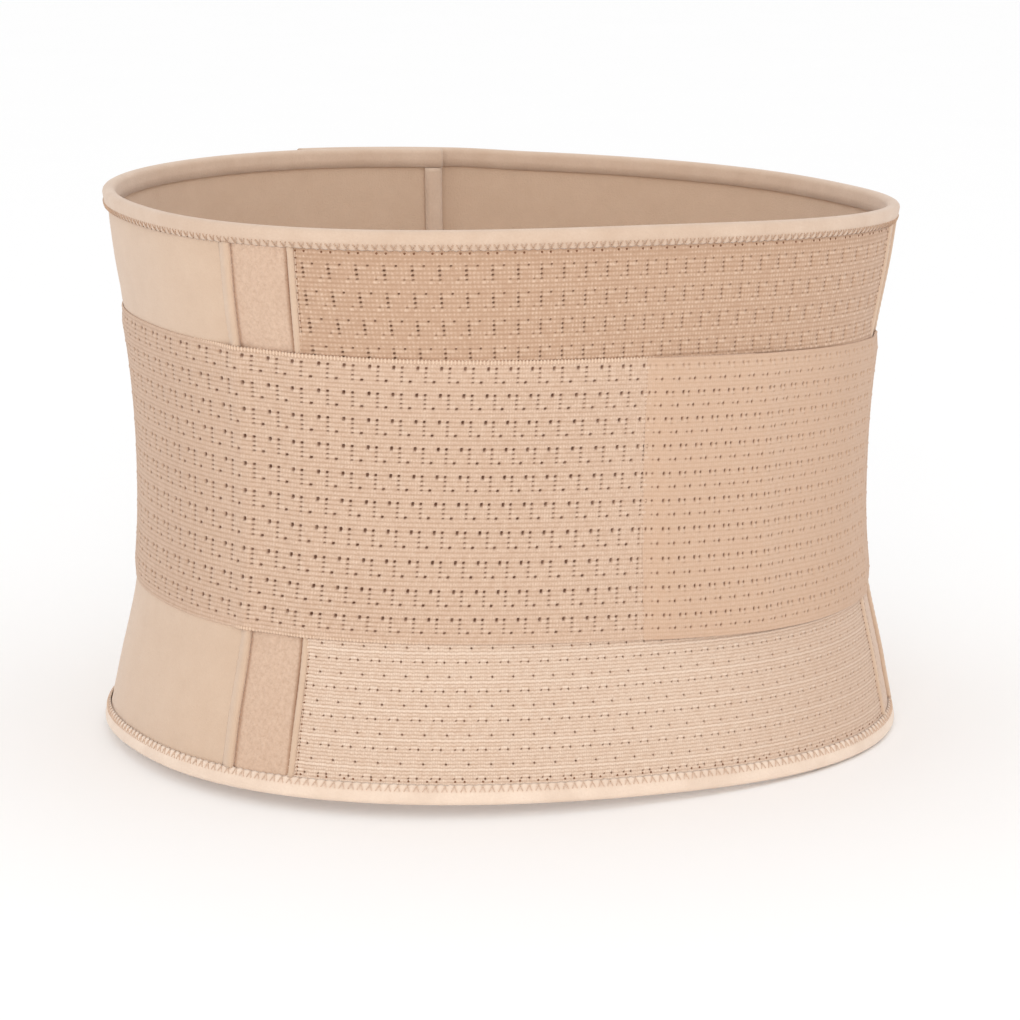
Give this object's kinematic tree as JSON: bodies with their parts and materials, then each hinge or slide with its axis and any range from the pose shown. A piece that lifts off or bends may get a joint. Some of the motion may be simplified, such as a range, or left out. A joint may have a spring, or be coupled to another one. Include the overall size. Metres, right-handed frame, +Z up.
{
  "type": "abdominal binder",
  "caption": "Elastic abdominal and lumbar support belt, closed as worn, with a perforated knitted back panel, plain laminate side panels, bound edges and pull straps lapped over the back.",
  "frame": {"origin": "middle of the waist opening, half way up the belt, where the wearer's waist is", "axes": "+Z is up, +Y is the way the wearer faces, +X is the wearer's right, so the middle of the back is at -Y"},
  "size_m": [0.3309, 0.2856, 0.2269],
  "materials": {
    "knit": "perforated elastic knit with fine ribs",
    "loop": "brushed loop pile",
    "laminate": "smooth foam-backed jersey",
    "tape": "soft folded tape with zigzag stitching",
    "strap_knit": "perforated elastic knit with ribs and picot edges",
    "hook": "matt hook fastener tape"
  },
  "bodies": {
    "root": {"back_panel": "knit", "loop_strip_left": "loop", "loop_strip_right": "loop", "side_panel_left": "laminate", "side_panel_right": "laminate", "knit_welt_left": "laminate", "knit_welt_right": "laminate", "panel_welt_left": "laminate", "panel_welt_right": "laminate", "top_binding": "tape", "bottom_binding": "tape", "end_binding_left": "tape", "end_binding_right": "tape", "strap_left": "strap_knit", "strap_right": "strap_knit", "strap_tab_left": "hook", "strap_tab_right": "hook", "front_hook_strip": "hook"}
  },
  "joints": []
}
